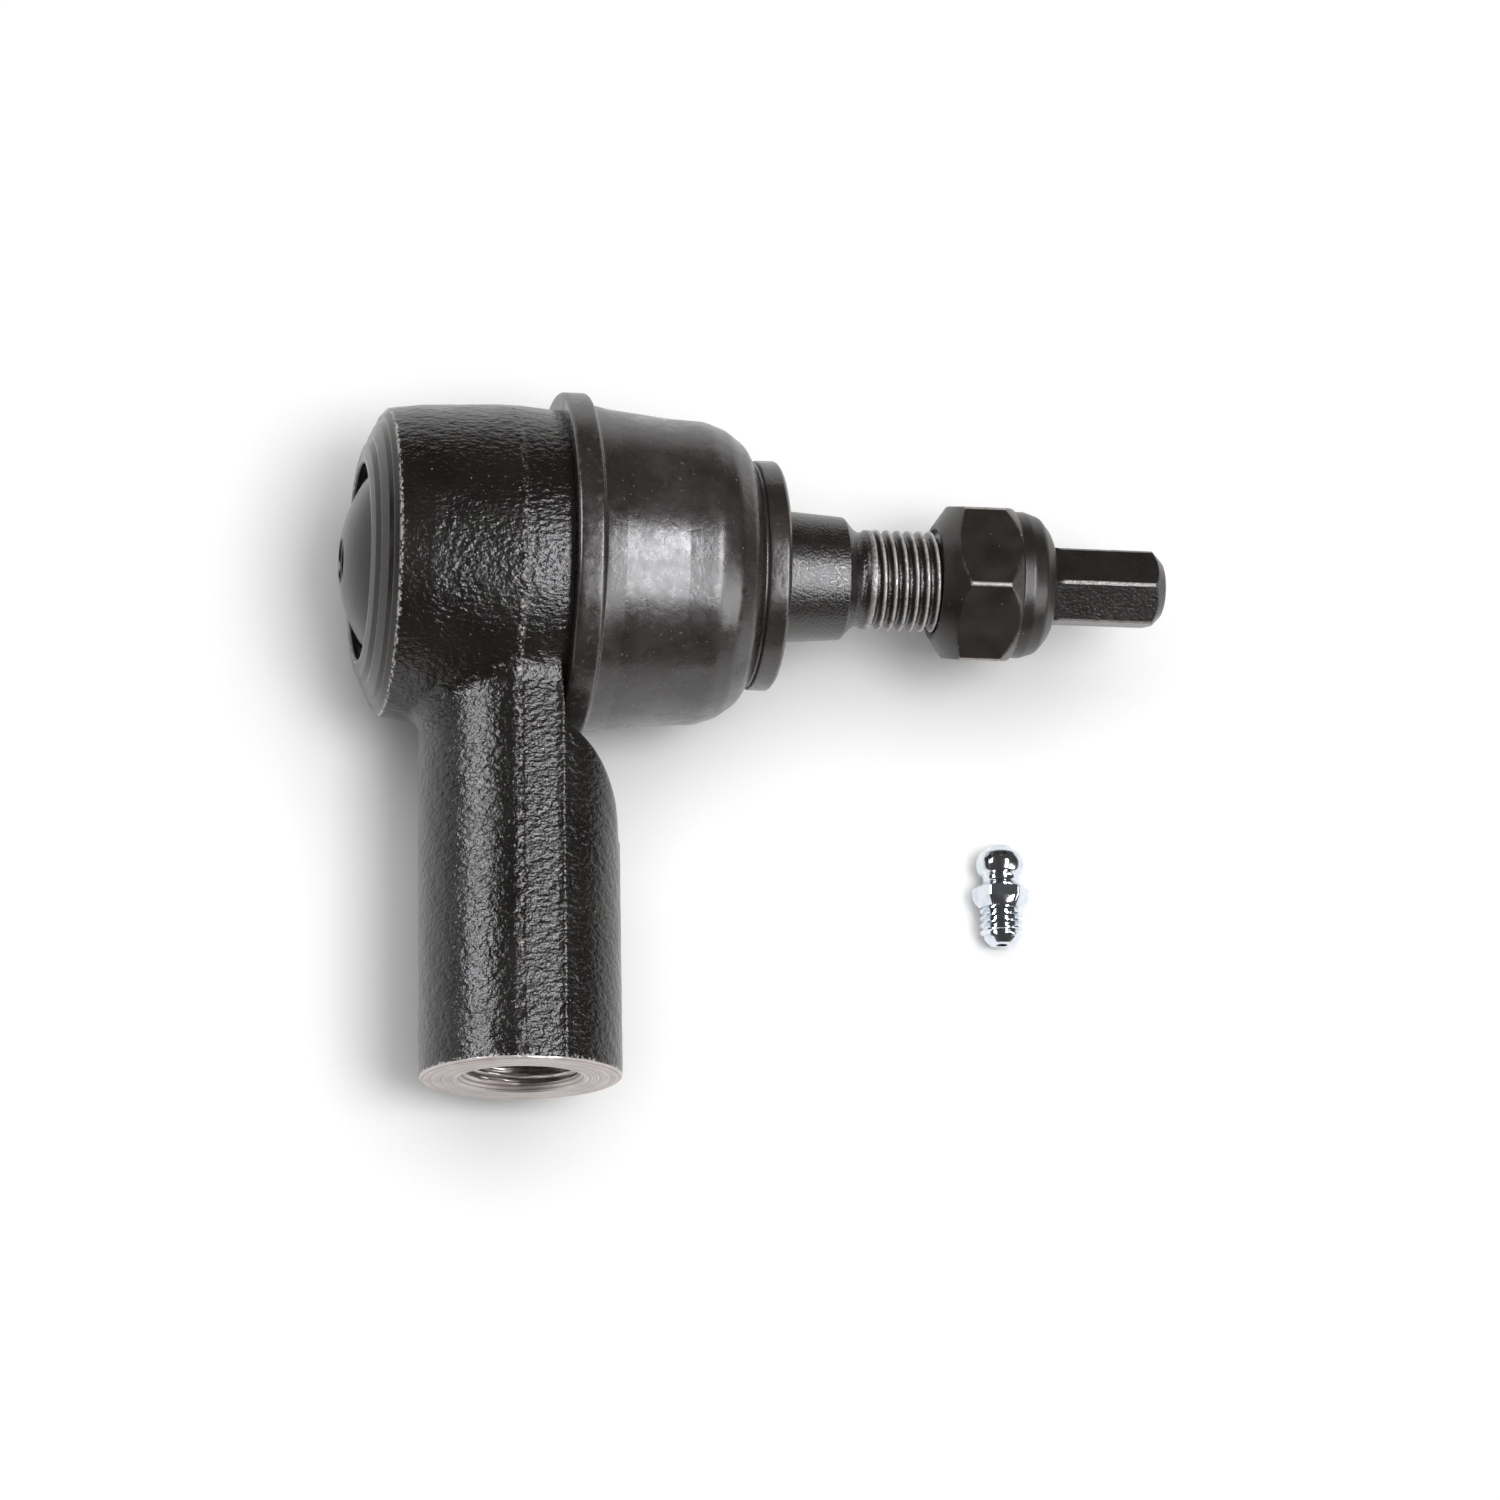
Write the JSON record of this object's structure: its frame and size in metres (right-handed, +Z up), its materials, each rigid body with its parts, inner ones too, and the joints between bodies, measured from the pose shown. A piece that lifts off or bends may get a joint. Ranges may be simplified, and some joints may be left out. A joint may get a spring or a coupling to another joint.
{
  "type": "tie rod end",
  "caption": "Tie rod end: ball stud in a forged socket with a threaded shank, dust boot, locking nut and a loose grease fitting.",
  "frame": {"origin": "bottom centre of the bounding box, with the joint lying on its side", "axes": "+X along the ball stud from the cover to the hexagonal tip, -Y down the shank to its open end, +Z up from the bench"},
  "size_m": [0.1142, 0.0952, 0.048],
  "materials": {
    "forging": "black paint over a forged skin",
    "stud_steel": "black phosphate, bright on the thread crests",
    "bearing": "moulded acetal",
    "spring_steel": "oiled spring steel",
    "cover_steel": "satin black paint",
    "boot_rubber": "moulded black rubber",
    "nut_steel": "black oxide with worn corners",
    "nylon": "moulded nylon",
    "zinc_plate": "bright zinc plate",
    "ball_steel": "polished steel"
  },
  "bodies": {
    "root": {"housing": "forging", "cover_plate": "cover_steel", "preload_washer": "spring_steel", "lower_bearing": "bearing", "upper_bearing": "bearing"},
    "boot": {"dust_boot": "boot_rubber", "boot_base_ring": "spring_steel"},
    "neck_seal": {"boot_neck_ring": "spring_steel"},
    "stud": {"ball_stud": "stud_steel"},
    "nut_carrier": {"lock_nut_insert": "nylon"},
    "nut": {"lock_nut": "nut_steel"},
    "fitting": {"grease_fitting": "zinc_plate", "grease_fitting_spring": "ball_steel"},
    "check_ball": {"grease_fitting_ball": "ball_steel"}
  },
  "joints": [
    {"name": "swing_direction", "type": "hinge", "parent": "root", "child": "boot", "pos_m": [-0.03307, 0.0236, 0.024], "axis": [1, 0, 0], "continuous": true},
    {"name": "stud_swing", "type": "hinge", "parent": "boot", "child": "neck_seal", "pos_m": [-0.03307, 0.0236, 0.024], "axis": [0, 0, 1], "range_deg": [-22, 22], "deforming": ["dust_boot"]},
    {"name": "stud_spin", "type": "hinge", "parent": "neck_seal", "child": "stud", "pos_m": [-0.03307, 0.0236, 0.024], "axis": [1, 0, 0], "continuous": true},
    {"name": "nut_travel", "type": "slide", "parent": "stud", "child": "nut_carrier", "axis": [1, 0, 0], "range_m": [-0.00825, 0.012]},
    {"name": "nut_turn", "type": "hinge", "parent": "nut_carrier", "child": "nut", "pos_m": [0.033, 0.0236, 0.024], "axis": [1, 0, 0], "range_deg": [-1981, 2881]},
    {"name": "fitting_lift", "type": "slide", "parent": "root", "child": "fitting", "axis": [0, -0.8, 0.6], "range_m": [0, 0.03]},
    {"name": "check_ball_travel", "type": "slide", "parent": "fitting", "child": "check_ball", "axis": [0, -1, 0], "range_m": [0, 0.0005], "stiffness_N_per_m": 60}
  ],
  "couplings": [
    {"joint": "nut_turn", "follows": "nut_travel", "rad_per_m": 4188.8}
  ]
}
